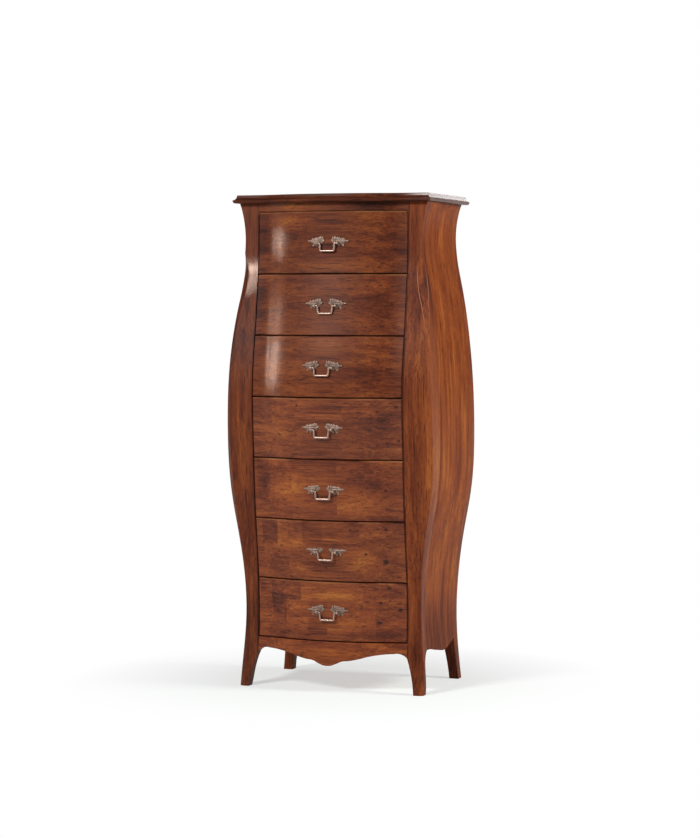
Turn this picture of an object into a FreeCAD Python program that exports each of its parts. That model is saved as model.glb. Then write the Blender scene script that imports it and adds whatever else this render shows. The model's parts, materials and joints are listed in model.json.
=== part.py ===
import FreeCAD, Part
import math
import os

V = FreeCAD.Vector

# All sizes are in millimetres. While it is built, X runs across from the middle, Y runs back
# from the front plane at the neck, and Z runs up from the floor.

# Case
HEIGHT = 1350.0
TOP_THICK = 22.0
OPENING_HALF = 217.0
CASE_BACK = 322.0
SIDE_THICK = 18.0
POST_DEPTH = 34.0
REAR_POST_DEPTH = 34.0
BACK_THICK = 8.0
BACK_INSET = 2.0
BACK_REBATE = 10.0
BOTTOM_THICK = 10.0

# The swell of the case as a table of offsets: share of the case's height, swell of the front,
# width of the front post's face, and width of the case beyond the opening at the rear.
OFFSETS = (
    (1.000, 0.0, 55.5, 45.5),
    (0.934, 0.0, 39.0, 29.5),
    (0.889, 1.5, 41.0, 33.5),
    (0.821, 12.0, 53.5, 50.5),
    (0.753, 25.0, 64.5, 65.0),
    (0.640, 48.5, 74.5, 80.0),
    (0.520, 44.5, 79.5, 85.0),
    (0.407, 34.5, 73.5, 77.0),
    (0.309, 20.0, 52.5, 54.0),
    (0.226, 6.5, 40.5, 39.5),
    (0.143, 3.0, 38.5, 34.0),
    (0.068, 9.0, 45.5, 38.5),
    (0.000, 24.0, 50.0, 47.5),
)

# Serpentine front in plan: how far its crown stands out, and the radius of the hollow at each end.
# Its swell is followed in short straight rises.
BOW = 36.0
END_HOLLOW = 160.0
RISE = 32.0

# Legs and the shaped edges between them
FOOT_WIDTH = 27.0
FOOT_DEPTH = 27.0
REAR_FOOT_KICK = 2.0
LEG_SAG = 3.0
APRON_CORNER = 97.0
SIDE_EDGE = 117.0
# Back edge of a front leg: share of its run back to the side panel, and of its height
LEG_BACK_LINE = ((1.0, 1.0), (0.45, 0.855), (0.19, 0.51), (0.0, 0.0))
# Lower edge of the apron from its end to its step, then of its middle drop: share of the
# half opening, and height
APRON_LINE = ((0.925, 107.0), (0.83, 107.8), (0.668, 105.0), (0.484, 97.2), (0.345, 89.3), (0.27, 86.4))
APRON_DROP = ((0.27, 86.4), (0.22, 85.8), (0.17, 83.0), (0.11, 76.8), (0.06, 72.6), (0.0, 71.4))
# Lower edge of a side panel: share of its depth, and drop below the side's edge at the posts
SIDE_LINE = ((0.0, 0.0), (0.2, 4.5), (0.4, 13.0), (0.6, 20.0), (0.8, 12.5), (1.0, 0.0))

# Stopped chamfer on the outer corner of a front post: share of the case's height, and width of
# its cut in X and Y, less than nothing where it stops above the first drawer's edge
CHAMFER = (
    (0.901, -3.0),
    (0.872, 14.0),
    (0.791, 16.0),
    (0.663, 10.5),
    (0.527, 12.0),
    (0.414, 13.0),
    (0.331, 6.5),
    (0.250, 1.5),
    (0.140, 1.5),
    (0.060, 5.0),
    (0.000, 8.0),
)

# Top board: overhang of its upper edge, then of the lip of its moulding
TOP_OVERHANG = 3.5
TOP_FRONT_OVERHANG = 12.0
LIP_OUT = 10.0
LIP_UNDER = 5.0
LIP_NOSE = 8.0
MOULDING_TURNS = (0, 30, 60, 90)

# Drawers. The joints between two fronts lie a little under an even spacing.
DRAWERS = 7
TOP_RAIL_HEIGHT = 23.5
LOWEST_FRONT_EDGE = 138.0
JOINT_DROP = 3.5
FRONT_GAP = 3.0
FRONT_SIDE_GAP = 1.5
FRONT_THIN = 20.0
FRONT_EASE = 1.5
FIRST_CORNER = 12.0
DRAWER_SIDE_THICK = 12.0
DRAWER_HEADROOM = 20.0
DRAWER_SIDE_PLAY = 4.0
DRAWER_BACK_THICK = 12.0
DRAWER_REAR_PLAY = 4.0
DRAWER_BOTTOM_THICK = 6.0
GROOVE_DEPTH = 5.0
GROOVE_RISE = 8.0
RUN_PLAY = 0.4

# Rails, runners and glue blocks
RAIL_THICK = 20.0
RAIL_DEPTH = 45.0
RAIL_PLAY = 0.4
RUNNER_LIP = 6.0
GUIDE_THICK = 12.0
GUIDE_HEIGHT = 20.0
GUIDE_PLAY = 1.0
BLOCK_LEG = 20.0
BLOCK_LENGTH = 45.0
BLOCK_SPACING = 95.0

# Pulls
EYE_SPACING = 60.0
EYE_RADIUS = 6.2
EYE_SIDES = 6
EYE_REACH = 13.0
PIVOT_REACH = 8.5
PULL_BELOW_MIDDLE = 2.5
LEAF_THICK = 2.5
BAIL_WIRE = 2.5
BAIL_EYE_PLAY = 0.8
BAIL_TAPER = 1.8
BAIL_DROP = 21.0
BAIL_BEND = 1.6
PIN_PLAY = 0.3
WIRE_SIDES = 8
# An acanthus leaf's lobes and the hollows between them, across and up from its eye
LEAF = (
    (-7.0, -3.0), (-8.5, 3.5), (-5.0, 9.0), (-2.5, 15.0), (3.0, 12.0), (8.0, 13.5),
    (11.0, 9.5), (15.5, 10.5), (19.0, 6.5), (23.5, 7.0), (28.0, 4.5), (23.5, 1.5),
    (19.0, 0.5), (16.0, -4.0), (11.0, -2.0), (8.5, -7.5), (3.5, -4.5), (-2.0, -7.5),
)

# Far enough past the case for any cut
FAR = 900.0

CASE_TOP = HEIGHT - TOP_THICK
PITCH = (CASE_TOP - TOP_RAIL_HEIGHT - LOWEST_FRONT_EDGE) / DRAWERS
BACK_FACE = CASE_BACK - BACK_INSET - BACK_THICK
REAR_POST_FRONT = CASE_BACK - REAR_POST_DEPTH
BOX_HALF = OPENING_HALF - DRAWER_SIDE_PLAY
BOX_REAR = REAR_POST_FRONT - DRAWER_REAR_PLAY
BOX_HEIGHT = PITCH - RAIL_THICK - DRAWER_HEADROOM
BOTTOM_TOP = LOWEST_FRONT_EDGE - RAIL_THICK / 2
EYE_X = EYE_SPACING / 2
EYE_HALF = EYE_RADIUS * math.cos(math.pi / EYE_SIDES)
BAIL_TOP_HALF = EYE_X - EYE_HALF - BAIL_EYE_PLAY - BAIL_WIRE
BAIL_FOOT_HALF = BAIL_TOP_HALF - BAIL_TAPER
BOW_TURN = 2 * math.atan(BOW / OPENING_HALF)
CROWN = OPENING_HALF / math.sin(BOW_TURN) - END_HOLLOW
CROWN_HALF = CROWN * math.sin(BOW_TURN)


def spline(points):
    curve = Part.BSplineCurve()
    curve.interpolate(points)
    return curve


def line(a, b):
    return Part.makeLine(a, b)


def arc(a, middle, b):
    return Part.Arc(a, middle, b).toShape()


def arcs_through(points):
    """Arcs that each pass through three points and meet end to end."""
    return [arc(*points[i : i + 3]) for i in range(0, len(points) - 2, 2)]


def at_height(curve, height):
    """The point where a falling curve passes a height."""
    high, low = curve.FirstParameter, curve.LastParameter
    for _ in range(60):
        middle = (low + high) / 2
        if curve.value(middle).z < height:
            low = middle
        else:
            high = middle
    return curve.value((low + high) / 2)


FRONT_CURVE = spline([V(0, -swell, CASE_TOP * share) for share, swell, post, rear in OFFSETS])
POST_CURVE = spline([V(OPENING_HALF + post, 0, CASE_TOP * share) for share, swell, post, rear in OFFSETS])
REAR_CURVE = spline([V(OPENING_HALF + rear, 0, CASE_TOP * share) for share, swell, post, rear in OFFSETS])


def line_height(index):
    """Height of the joint under drawer number index, or over the first one for nought."""
    drop = JOINT_DROP if 0 < index < DRAWERS else 0
    return CASE_TOP - TOP_RAIL_HEIGHT - PITCH * index - drop


def arcs_down(curve):
    """Follows a falling curve with arcs that meet at each drawer's joints and middle."""
    joints = [line_height(i / 2) for i in range(2 * DRAWERS + 1)]
    top, bottom = curve.value(curve.FirstParameter).z, curve.value(curve.LastParameter).z
    inner = [height for height in joints + [APRON_CORNER, APRON_CORNER / 2] if bottom < height < top]
    heights = [top] + inner + [bottom]
    edges = []
    for high, low in zip(heights, heights[1:]):
        edges.append(arc(*[at_height(curve, height) for height in (high, (high + low) / 2, low)]))
    return edges


def front_swell(height):
    return -at_height(FRONT_CURVE, height).y


def rises(low, high):
    """Heights that divide a stretch of the front into short straight rises."""
    count = max(1, round((high - low) / RISE))
    return [low + (high - low) * i / count for i in range(count + 1)]


def bow(x):
    """How far the serpentine front stands out from the post faces."""
    if abs(x) < CROWN_HALF:
        return BOW - CROWN + math.sqrt(CROWN**2 - x**2)
    return END_HOLLOW - math.sqrt(END_HOLLOW**2 - (OPENING_HALF - abs(x)) ** 2)


def serpentine(half, y, height):
    """The front's plan curve out to its half width: a hollow, the crown and a hollow."""
    middle = (half + CROWN_HALF) / 2
    stations = (-half, -middle, -CROWN_HALF, 0, CROWN_HALF, middle, half)
    return arcs_through([V(x, y - bow(x), height) for x in stations])


def closed_by(curve, corners):
    """A plan outline: the front's curve, then lines through corners on the right and their mirror images."""
    corners = corners + [V(-p.x, p.y, p.z) for p in corners[::-1]]
    return Part.Wire(curve + [line(a, b) for a, b in zip(corners, corners[1:])])


def plan_section(half, height, setback):
    """The front in plan at one height: its curve out to a half width, then a bevel at each end."""
    y = setback - front_swell(height)
    end = V(half, y - bow(half), height)
    shoulder = end + V(2 * FRONT_EASE, 2 * FRONT_EASE, 0)
    return closed_by(serpentine(half, y, height), [end, shoulder, V(shoulder.x, FAR, height)])


def front_block(half, levels):
    """A loft through plan sections at levels of height and setback, serpentine across and swelling."""
    return Part.makeLoft([plan_section(half, height, setback) for height, setback in levels], True, True)


def box(x0, x1, y0, y1, z0, z1):
    return Part.makeBox(x1 - x0, y1 - y0, z1 - z0, V(x0, y0, z0))


def prism(edges, along):
    """Extrudes the closed outline that the edges make."""
    wire = Part.Wire(Part.__sortEdges__(edges))
    return Part.Face(wire).extrude(along)


def polygon_prism(points, along):
    wire = Part.makePolygon(points + points[:1])
    return Part.Face(wire).extrude(along)


def mirrored(shape):
    return shape.mirror(V(0, 0, 0), V(1, 0, 0))


def only_solid(shape):
    solids = shape.Solids
    if len(solids) != 1:
        raise ValueError("expected one solid, found %d" % len(solids))
    return solids[0]


def front_back_face(index):
    """Where the flat inner face of a drawer front lies, behind its thinnest edge."""
    thin = min(front_swell(line_height(index)), front_swell(line_height(index - 1)))
    return FRONT_THIN - thin


def rail_front(index):
    """The front of the rail under drawer number index, just behind the fronts it divides."""
    faces = [front_back_face(i) for i in (index, index + 1) if 1 <= i <= DRAWERS]
    return max(faces) + RAIL_PLAY


# Posts

def leg_inner_edge(top, foot):
    """The inner edge of a leg, hollowed a little between its top and its foot."""
    middle = (top + foot) / 2 + V(LEG_SAG, 0, 0)
    return arc(top, middle, foot)


def post_across(curve, leg_top):
    """A post seen from the front: its swelling outer edge, and straight inside down to its leg."""
    foot = curve.EndPoint - V(FOOT_WIDTH, 0, 0)
    inner_top = V(OPENING_HALF, 0, CASE_TOP)
    inner_low = V(OPENING_HALF, 0, leg_top)
    edges = arcs_down(curve) + [
        line(curve.StartPoint, inner_top),
        line(inner_top, inner_low),
        leg_inner_edge(inner_low, foot),
        line(foot, curve.EndPoint),
    ]
    return prism(edges, V(0, FAR, 0))


def front_post():
    foot_front = FRONT_CURVE.EndPoint
    foot_back = foot_front + V(0, FOOT_DEPTH, 0)
    run = POST_DEPTH - foot_back.y
    back_line = [V(0, foot_back.y + run * share, SIDE_EDGE * rise) for share, rise in LEG_BACK_LINE]
    top_back = V(0, POST_DEPTH, CASE_TOP)
    side_view = arcs_down(FRONT_CURVE) + [
        line(FRONT_CURVE.StartPoint, top_back),
        line(top_back, back_line[0]),
        spline(back_line).toShape(),
        line(foot_back, foot_front),
    ]
    sawn_across = post_across(POST_CURVE, APRON_CORNER)
    sawn_across.translate(V(0, -FAR / 2, 0))
    post = sawn_across.common(prism(side_view, V(FAR, 0, 0)))
    return only_solid(post.cut(chamfer_waste()))


def chamfer_waste():
    """The waste of the stopped chamfer, drawn in the upright plane through the post's outer corner."""
    outward = V(1, -1, 0).normalize()
    along = V(1, 1, 0).normalize()
    corner = []
    for share, cut in CHAMFER:
        height = CASE_TOP * share
        reach = (at_height(POST_CURVE, height).x + front_swell(height) - cut) / math.sqrt(2)
        corner.append(outward * reach + V(0, 0, height))
    top = corner[0] + outward * FAR
    bottom = corner[-1] + outward * FAR
    edges = arcs_down(spline(corner)) + [
        line(corner[0], top),
        line(top, bottom),
        line(bottom, corner[-1]),
    ]
    waste = prism(edges, along * (2 * FAR))
    waste.translate(along * -FAR)
    return waste


def rear_post():
    foot_back = CASE_BACK + REAR_FOOT_KICK
    side_view = [
        V(0, REAR_POST_FRONT, CASE_TOP),
        V(0, CASE_BACK, CASE_TOP),
        V(0, CASE_BACK, SIDE_EDGE),
        V(0, foot_back, 0),
        V(0, foot_back - FOOT_DEPTH, 0),
        V(0, REAR_POST_FRONT, SIDE_EDGE),
    ]
    post = post_across(REAR_CURVE, SIDE_EDGE).common(polygon_prism(side_view, V(FAR, 0, 0)))
    rebate = box(
        OPENING_HALF, OPENING_HALF + BACK_REBATE, BACK_FACE, FAR, BOTTOM_TOP - BOTTOM_THICK, CASE_TOP
    )
    return only_solid(post.cut(rebate))


# Case panels

def side_section(curve, y):
    """An upright slice of a side panel in the plane at y."""
    inset = V(-SIDE_THICK, 0, 0)
    outer = [edge.translated(V(0, y, 0)) for edge in arcs_down(curve)]
    inner = [edge.translated(inset) for edge in outer]
    top = curve.StartPoint + V(0, y, 0)
    foot = curve.EndPoint + V(0, y, 0)
    edges = outer + [line(foot, foot + inset)] + inner[::-1] + [line(top + inset, top)]
    return Part.Wire(edges)


def side_panel():
    sections = [side_section(POST_CURVE, POST_DEPTH), side_section(REAR_CURVE, REAR_POST_FRONT)]
    blank = Part.makeLoft(sections, True, True)
    depth = REAR_POST_FRONT - POST_DEPTH
    low = [V(0, POST_DEPTH + depth * share, SIDE_EDGE - drop) for share, drop in SIDE_LINE]
    front_top = V(0, POST_DEPTH, CASE_TOP)
    rear_top = V(0, REAR_POST_FRONT, CASE_TOP)
    edges = [
        spline(low).toShape(),
        line(low[-1], rear_top),
        line(rear_top, front_top),
        line(front_top, low[0]),
    ]
    return only_solid(blank.common(prism(edges, V(FAR, 0, 0))))


def back_panel():
    half = OPENING_HALF + BACK_REBATE
    return box(-half, half, BACK_FACE, BACK_FACE + BACK_THICK, BOTTOM_TOP - BOTTOM_THICK, CASE_TOP)


def bottom_board():
    return box(
        -OPENING_HALF, OPENING_HALF, rail_front(DRAWERS), BACK_FACE, BOTTOM_TOP - BOTTOM_THICK, BOTTOM_TOP
    )


def top_outline(out, height):
    """The top board's outline at one level of its moulding."""
    half = OPENING_HALF + OFFSETS[0][2] + TOP_OVERHANG + out
    front = -TOP_FRONT_OVERHANG - out
    corners = [V(OPENING_HALF, front, height), V(half, front, height), V(half, CASE_BACK, height)]
    return closed_by(serpentine(OPENING_HALF, front, height), corners)


def top_board():
    """A rounded nose runs from the case out to the lip, and a hollow from there to the upper edge."""
    lip = CASE_TOP + LIP_NOSE
    nose = []
    hollow = []
    for turn in MOULDING_TURNS:
        angle = math.radians(turn)
        nose.append((LIP_OUT - LIP_UNDER * (1 - math.sin(angle)), lip - LIP_NOSE * math.cos(angle)))
        hollow.append((LIP_OUT * (1 - math.sin(angle)), HEIGHT - (HEIGHT - lip) * math.cos(angle)))
    levels = nose + hollow[1:]
    return Part.makeLoft([top_outline(out, height) for out, height in levels], True, True)


# Front rails and apron

def arched_line(radius, half, top, y):
    """A level line whose two ends turn down in round corners."""
    bend = radius * (1 - math.sqrt(0.5))
    right = arc(V(half, y, top - radius), V(half - bend, y, top - bend), V(half - radius, y, top))
    return [right, line(V(half - radius, y, top), V(radius - half, y, top)), mirrored(right)]


def arched_prism(radius, half, top, level):
    """An arched line closed by a level one above or below it, and carried through the front."""
    y = -FAR / 2
    ends = [V(half, y, top - radius), V(half, y, level), V(-half, y, level), V(-half, y, top - radius)]
    edges = arched_line(radius, half, top, y) + [line(a, b) for a, b in zip(ends, ends[1:])]
    return prism(edges, V(0, FAR, 0))


def top_rail():
    depth = rail_front(1) + RAIL_DEPTH
    low = line_height(0) - FIRST_CORNER
    block = front_block(OPENING_HALF, [(height, 0) for height in rises(low - RISE, CASE_TOP)])
    rail = block.common(arched_prism(FIRST_CORNER, OPENING_HALF, line_height(0), CASE_TOP))
    return only_solid(rail.common(box(-FAR, FAR, -FAR, depth, 0, HEIGHT)).removeSplitter())


def apron():
    y = -FAR / 2
    top = line_height(DRAWERS) - FRONT_GAP / 2
    corner = V(OPENING_HALF, y, APRON_CORNER)
    sweep = [corner] + [V(OPENING_HALF * share, y, height) for share, height in APRON_LINE]
    half_drop = [V(OPENING_HALF * share, y, height) for share, height in APRON_DROP]
    drop = half_drop + [V(-p.x, p.y, p.z) for p in half_drop[-2::-1]]
    right = arcs_through(sweep)
    end_top = V(OPENING_HALF, y, top)
    edges = right + [mirrored(edge) for edge in right] + arcs_through(drop) + [
        line(corner, end_top),
        line(end_top, V(-end_top.x, y, top)),
        line(V(-end_top.x, y, top), V(-corner.x, y, corner.z)),
    ]
    block = front_block(OPENING_HALF, [(height, 0) for height in rises(0, top)])
    return only_solid(block.common(prism(edges, V(0, rail_front(DRAWERS) - y, 0))).removeSplitter())


def drawer_rail(index):
    middle = line_height(index)
    front = rail_front(index)
    return box(
        -OPENING_HALF, OPENING_HALF, front, front + RAIL_DEPTH,
        middle - RAIL_THICK / 2, middle + RAIL_THICK / 2,
    )


def rear_rail(index):
    middle = line_height(index)
    return box(
        -OPENING_HALF, OPENING_HALF, REAR_POST_FRONT, BACK_FACE,
        middle - RAIL_THICK / 2, middle + RAIL_THICK / 2,
    )


def runner(index):
    """A bearer under a drawer side, with a guide beside it."""
    low = line_height(index) - RAIL_THICK / 2
    top = low + RAIL_THICK
    inside = BOX_HALF - DRAWER_SIDE_THICK - RUNNER_LIP
    guide = BOX_HALF + GUIDE_PLAY
    start = rail_front(index) + RAIL_DEPTH
    outline = [
        V(inside, start, low),
        V(guide + GUIDE_THICK, start, low),
        V(guide + GUIDE_THICK, start, top + GUIDE_HEIGHT),
        V(guide, start, top + GUIDE_HEIGHT),
        V(guide, start, top),
        V(inside, start, top),
    ]
    return polygon_prism(outline, V(0, REAR_POST_FRONT - start, 0))


def glue_block():
    """A three-cornered block glued into the angle of the apron and the bottom board."""
    x = (BLOCK_SPACING - BLOCK_LENGTH) / 2
    y = rail_front(DRAWERS)
    top = BOTTOM_TOP - BOTTOM_THICK
    outline = [V(x, y, top), V(x, y + BLOCK_LEG, top), V(x, y, top - BLOCK_LEG)]
    return polygon_prism(outline, V(BLOCK_LENGTH, 0, 0))


# Drawers

def drawer_front(index):
    """A front lofted with bevels all round, and grooved for the drawer's bottom."""
    top = line_height(index - 1) - FRONT_GAP / 2
    bottom = line_height(index) + FRONT_GAP / 2
    half = OPENING_HALF - FRONT_SIDE_GAP
    levels = [(height, 0) for height in rises(bottom + FRONT_EASE, top - FRONT_EASE)]
    levels = [(bottom, FRONT_EASE)] + levels + [(top, FRONT_EASE)]
    block = front_block(half - FRONT_EASE, levels)
    front = block.common(box(-half, half, -FAR, front_back_face(index), bottom, top))
    if index == 1:
        front = front.common(arched_prism(FIRST_CORNER - FRONT_SIDE_GAP, half, top, bottom))
    return only_solid(front.cut(drawer_bottom(index)).removeSplitter())


def box_low(index):
    return line_height(index) + RAIL_THICK / 2 + RUN_PLAY


def drawer_bottom(index):
    """A thin panel let into grooves in the front and the sides, and under the back."""
    low = box_low(index) + GROOVE_RISE
    half = BOX_HALF - DRAWER_SIDE_THICK + GROOVE_DEPTH
    front = front_back_face(index) - GROOVE_DEPTH
    return box(-half, half, front, BOX_REAR, low, low + DRAWER_BOTTOM_THICK)


def drawer_side(index):
    low = box_low(index)
    side = box(
        BOX_HALF - DRAWER_SIDE_THICK, BOX_HALF, front_back_face(index), BOX_REAR, low, low + BOX_HEIGHT
    )
    return only_solid(side.cut(drawer_bottom(index)))


def drawer_back(index):
    half = BOX_HALF - DRAWER_SIDE_THICK
    low = box_low(index)
    return box(
        -half, half, BOX_REAR - DRAWER_BACK_THICK, BOX_REAR,
        low + GROOVE_RISE + DRAWER_BOTTOM_THICK, low + BOX_HEIGHT,
    )


# Pulls

def eye_height(index):
    return (line_height(index) + line_height(index - 1)) / 2 - PULL_BELOW_MIDDLE


def eye_face(index):
    """Where the front's skin lies at the eyes of a pull."""
    return -front_swell(eye_height(index)) - bow(EYE_X)


def regular_polygon(centre, radius, sides, across, up):
    """Corners of a regular outline whose flats face across and up."""
    points = []
    for i in range(sides):
        angle = math.pi * (2 * i + 1) / sides
        points.append(centre + across * (radius * math.cos(angle)) + up * (radius * math.sin(angle)))
    return points


def leaf_plate(index):
    """A leaf laid on the curved front, with an eye post that stands out of it."""
    eye = V(EYE_X, eye_face(index), eye_height(index))
    heights = rises(line_height(index), line_height(index - 1))
    face = front_block(OPENING_HALF, [(height, 0) for height in heights])
    outline = [V(eye.x + x, -FAR / 2, eye.z + z) for x, z in LEAF]
    leaf = polygon_prism(outline, V(0, FAR, 0)).common(face.translated(V(0, -LEAF_THICK, 0)))
    tip = eye - V(0, EYE_REACH, 0)
    post = polygon_prism(regular_polygon(tip, EYE_RADIUS, EYE_SIDES, V(1, 0, 0), V(0, 0, 1)), V(0, FAR, 0))
    casting = leaf.fuse(post).cut(face)
    drill = V(EYE_X - EYE_RADIUS, eye.y - PIVOT_REACH, eye.z)
    hole = Part.makeCylinder(BAIL_WIRE + PIN_PLAY, 2 * EYE_RADIUS, drill, V(1, 0, 0))
    return only_solid(casting.cut(hole).removeSplitter())


def bail(index):
    """A swinging handle of bent wire, its two pins in the eyes."""
    pivot = V(0, eye_face(index) - PIVOT_REACH, eye_height(index))
    arm = V(BAIL_FOOT_HALF - BAIL_TOP_HALF, 0, -BAIL_DROP).normalize() * BAIL_BEND
    across = V(BAIL_BEND, 0, 0)
    top = V(BAIL_TOP_HALF, 0, 0)
    foot = V(BAIL_FOOT_HALF, 0, -BAIL_DROP)
    right = [V(EYE_X, 0, 0), top + across, top + arm, foot - arm, foot - across]
    points = [pivot + p for p in right + [V(-p.x, p.y, p.z) for p in right[::-1]]]
    wire = regular_polygon(points[0], BAIL_WIRE, WIRE_SIDES, V(0, 1, 0), V(0, 0, 1))
    section = Part.makePolygon(wire + wire[:1])
    mitred = 1
    return only_solid(Part.makePolygon(points).makePipeShell([section], True, False, mitred))


# The whole piece

def pair(right):
    return [right, mirrored(right)]


def carcass():
    pieces = {
        "top_board": top_board(),
        "top_rail": top_rail(),
        "front_apron": apron(),
        "back_panel": back_panel(),
        "bottom_board": bottom_board(),
        "glue_blocks": Part.makeCompound(pair(glue_block())),
    }
    levels = range(1, DRAWERS + 1)
    pieces["drawer_rails"] = Part.makeCompound([drawer_rail(i) for i in levels])
    pieces["rear_rails"] = Part.makeCompound([rear_rail(i) for i in levels])
    rights = {
        "front_post": front_post(),
        "rear_post": rear_post(),
        "side_panel": side_panel(),
        "runners": Part.makeCompound([runner(i) for i in levels]),
    }
    for name, right in rights.items():
        pieces[name + "_right"] = right
        pieces[name + "_left"] = mirrored(right)
    return pieces


def drawer(index):
    name = "drawer_%d_" % index
    return {
        name + "front": drawer_front(index),
        name + "sides": Part.makeCompound(pair(drawer_side(index))),
        name + "back": drawer_back(index),
        name + "bottom": drawer_bottom(index),
        name + "pull_leaves": Part.makeCompound(pair(leaf_plate(index))),
        name + "bail": bail(index),
    }


def main():
    pieces = carcass()
    for index in range(1, DRAWERS + 1):
        pieces.update(drawer(index))
    # The origin lies on the floor under the middle of the whole piece.
    bounds = [shape.optimalBoundingBox(False, False) for shape in pieces.values()]
    front = min(bound.YMin for bound in bounds)
    rear = max(bound.YMax for bound in bounds)
    os.makedirs("parts", exist_ok=True)
    for name, shape in pieces.items():
        shape.translate(V(0, -(front + rear) / 2, 0))
        shape.exportStep("parts/%s.step" % name)


main()
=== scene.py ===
import json
import math

import bpy
from bpy.props import FloatProperty, PointerProperty, StringProperty
from mathutils import Matrix, Vector


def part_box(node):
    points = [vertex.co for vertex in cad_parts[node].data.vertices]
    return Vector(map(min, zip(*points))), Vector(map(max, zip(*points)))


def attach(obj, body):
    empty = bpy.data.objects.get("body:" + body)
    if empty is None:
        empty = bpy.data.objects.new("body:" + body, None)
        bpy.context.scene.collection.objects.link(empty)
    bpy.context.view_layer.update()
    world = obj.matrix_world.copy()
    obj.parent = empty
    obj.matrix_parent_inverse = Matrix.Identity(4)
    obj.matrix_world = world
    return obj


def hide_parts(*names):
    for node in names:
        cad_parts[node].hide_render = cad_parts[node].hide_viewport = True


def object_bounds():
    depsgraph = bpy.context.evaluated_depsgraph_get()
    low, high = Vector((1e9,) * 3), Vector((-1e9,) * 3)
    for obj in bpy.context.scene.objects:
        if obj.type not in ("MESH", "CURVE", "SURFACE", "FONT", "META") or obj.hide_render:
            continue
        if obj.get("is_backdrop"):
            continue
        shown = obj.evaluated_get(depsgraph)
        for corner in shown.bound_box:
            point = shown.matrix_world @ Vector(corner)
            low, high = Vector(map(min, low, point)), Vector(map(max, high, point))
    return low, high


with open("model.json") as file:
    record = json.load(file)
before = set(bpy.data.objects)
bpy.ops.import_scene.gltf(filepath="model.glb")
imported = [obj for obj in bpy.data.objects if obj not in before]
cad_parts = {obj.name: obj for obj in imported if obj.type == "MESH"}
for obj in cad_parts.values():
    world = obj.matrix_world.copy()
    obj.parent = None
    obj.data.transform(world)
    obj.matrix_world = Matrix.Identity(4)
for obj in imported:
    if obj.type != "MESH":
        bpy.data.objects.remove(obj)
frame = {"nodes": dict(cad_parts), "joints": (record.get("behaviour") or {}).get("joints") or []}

bl_info = {
    "name": "Bombe Chest Dresser",
    "version": (1, 0, 0),
    "blender": (4, 2, 0),
    "location": "View3D > Sidebar > Chest",
    "description": "Dresses the solids of a bombe chest of drawers in stained walnut and antiqued metal",
    "category": "Object",
}

NODES = frame["nodes"]
CAD_LOW, CAD_HIGH = (Vector(corner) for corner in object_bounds())
DRAWERS = range(1, 8)
MM = 0.001


# Small tools

def linear(colour):
    """An sRGB hex colour as linear values for a shader."""
    values = [int(colour[i : i + 2], 16) / 255 for i in (1, 3, 5)]
    return tuple(v / 12.92 if v <= 0.04045 else ((v + 0.055) / 1.055) ** 2.4 for v in values) + (1.0,)


def add(material, kind, inputs=None, stops=None, **settings):
    """Adds a node with its settings, its ramp stops and its inputs, which are values or links."""
    tree = material.node_tree
    node = tree.nodes.new(kind)
    for name, value in settings.items():
        setattr(node, name, value)
    for i, (place, colour) in enumerate(stops or []):
        stop = node.color_ramp.elements[i] if i < 2 else node.color_ramp.elements.new(place)
        stop.position = place
        stop.color = colour
    for key, value in (inputs or {}).items():
        if isinstance(value, bpy.types.NodeSocket):
            tree.links.new(value, node.inputs[key])
        else:
            node.inputs[key].default_value = value
    return node


def new_material(name):
    """An empty node material."""
    material = bpy.data.materials.new(name)
    material.use_nodes = True
    material.node_tree.nodes.clear()
    return material


def pick(obj):
    """Makes one object the only selected one."""
    if bpy.context.object and bpy.context.object.mode != "OBJECT":
        bpy.ops.object.mode_set(mode="OBJECT")
    bpy.ops.object.select_all(action="DESELECT")
    obj.select_set(True)
    bpy.context.view_layer.objects.active = obj


def edit(obj):
    """Opens a piece in edit mode with nothing selected."""
    pick(obj)
    bpy.ops.object.mode_set(mode="EDIT")
    bpy.ops.mesh.select_all(action="DESELECT")


def close():
    bpy.ops.object.mode_set(mode="OBJECT")


def modify(obj, name, kind, **settings):
    """Adds a modifier and applies it."""
    pick(obj)
    modifier = obj.modifiers.new(name, kind)
    for key, value in settings.items():
        setattr(modifier, key, value)
    bpy.ops.object.modifier_apply(modifier=name)


def painted(obj, *finishes):
    """Gives an object its finishes."""
    obj.data.materials.clear()
    for finish in finishes:
        obj.data.materials.append(finish)
    return obj


def finish_piece(obj, name, body, slot, *replaced):
    """Names a piece and lets it ride on its body."""
    obj.name = name
    obj.data.name = name
    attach(obj, body)
    if replaced:
        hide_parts(*replaced)


def copied(obj):
    """A copy of a finished piece with a mesh of its own."""
    other = bpy.data.objects.new(obj.name, obj.data.copy())
    bpy.context.scene.collection.objects.link(other)
    return other


# Finishes

# Shares of a mark's half sizes between which it fades
FRAYED = (0.95, 1.8)
CRISP = (1.0, 1.06)
KNOTTED = (0.7, 1.4)
AT_RIM = (0.982, 0.996)


def stretched(material, board, scale, detail, rough=0.55, wander=0.0):
    """Noise drawn out along a board's grain, with its scale in cycles for each metre."""
    vector = add(material, "ShaderNodeMapping", {"Vector": board, "Scale": scale}).outputs[0]
    return add(
        material, "ShaderNodeTexNoise",
        {"Vector": vector, "Scale": 1.0, "Detail": detail, "Roughness": rough, "Distortion": wander},
    ).outputs["Fac"]


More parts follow.
